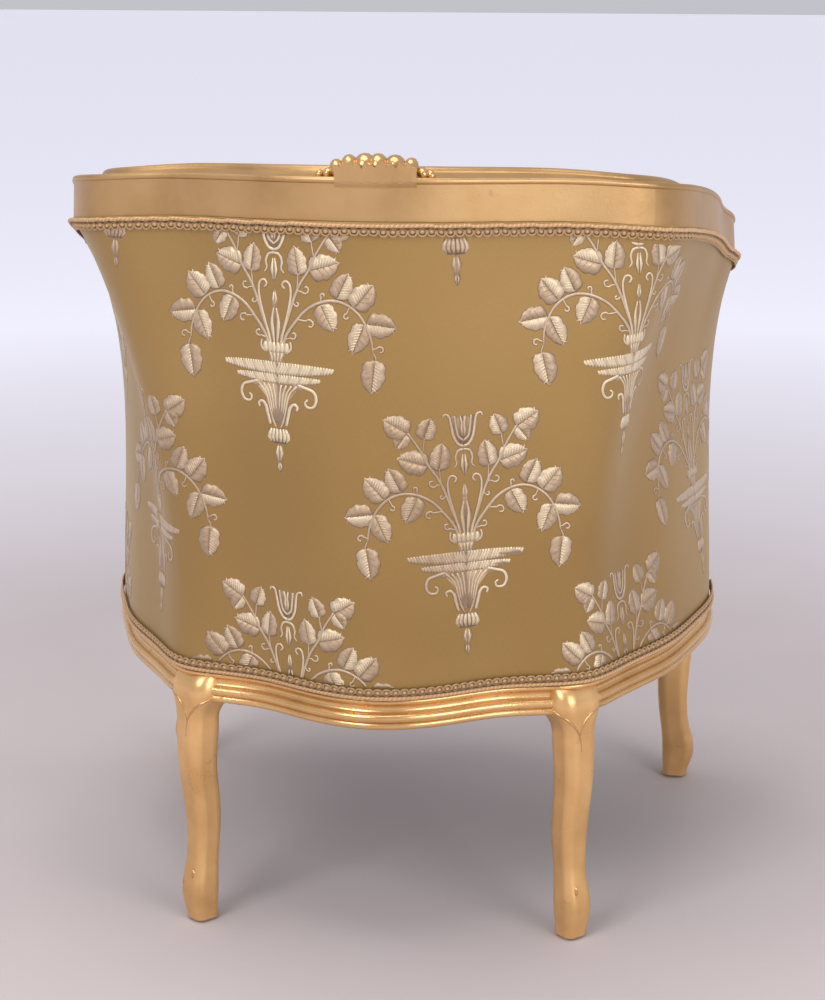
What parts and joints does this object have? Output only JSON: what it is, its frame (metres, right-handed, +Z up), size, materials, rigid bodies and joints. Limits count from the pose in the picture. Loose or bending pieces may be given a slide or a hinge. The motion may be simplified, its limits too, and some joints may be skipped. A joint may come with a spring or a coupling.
{
  "type": "bergere chair",
  "caption": "Low tub shaped bergere armchair: carved and gilded wooden frame on cabriole legs, upholstered brocade wall round back and sides, loose seat cushion.",
  "frame": {"origin": "on the floor, under the middle of the chair's overall box", "axes": "+Z up, the sitter faces -Y, +X is the sitter's left"},
  "size_m": [0.6813, 0.6813, 0.8036],
  "materials": {
    "gilded_wood": "carved wood, gilded with bright burnished beads and matter flats, lightly worn",
    "beech": "plain planed beech",
    "brocade": "satin brocade in old gold with paler woven motifs",
    "gimp_braid": "looped scroll braid",
    "jute_webbing": "plain woven jute",
    "hessian": "open plain weave",
    "black_lining": "matt black lining cloth",
    "glide": "dull dark grey",
    "cushion_filling": "white fibre wadding"
  },
  "bodies": {
    "frame": {"arm_dowels": "beech", "arm_rail_left": "gilded_wood", "arm_rail_right": "gilded_wood", "arm_support_left": "gilded_wood", "arm_support_right": "gilded_wood", "arm_webbing_left": "jute_webbing", "arm_webbing_right": "jute_webbing", "back_webbing": "jute_webbing", "crest_carving": "gilded_wood", "deck_hessian": "hessian", "deck_pad": "brocade", "dust_cover": "black_lining", "foot_glides": "glide", "front_rail_carving": "gilded_wood", "gimp_inner_arm_left": "gimp_braid", "gimp_inner_arm_right": "gimp_braid", "gimp_inner_back": "gimp_braid", "gimp_lower": "gimp_braid", "gimp_seat_front": "gimp_braid", "gimp_upper": "gimp_braid", "inside_arm_pad_left": "brocade", "inside_arm_pad_right": "brocade", "inside_back_pad": "brocade", "leg_front_left": "gilded_wood", "leg_front_right": "gilded_wood", "leg_rear_left": "gilded_wood", "leg_rear_right": "gilded_wood", "outside_arm_cover_left": "brocade", "outside_arm_cover_right": "brocade", "outside_back_cover": "brocade", "seat_frame_dowels": "beech", "seat_rail_back": "gilded_wood", "seat_rail_front": "gilded_wood", "seat_rail_left": "gilded_wood", "seat_rail_right": "gilded_wood", "tacking_rail_back": "beech", "tacking_rail_left": "beech", "tacking_rail_right": "beech", "top_rail": "gilded_wood", "webbing_crosswise": "jute_webbing", "webbing_lengthwise": "jute_webbing"},
    "seat_cushion": {"cushion_core": "cushion_filling", "cushion_cover": "brocade", "cushion_piping_lower": "brocade", "cushion_piping_upper": "brocade"}
  },
  "joints": [
    {"name": "cushion_lift", "type": "slide", "parent": "frame", "child": "seat_cushion", "axis": [0, 0, 1], "range_m": [0, 0.5]}
  ]
}
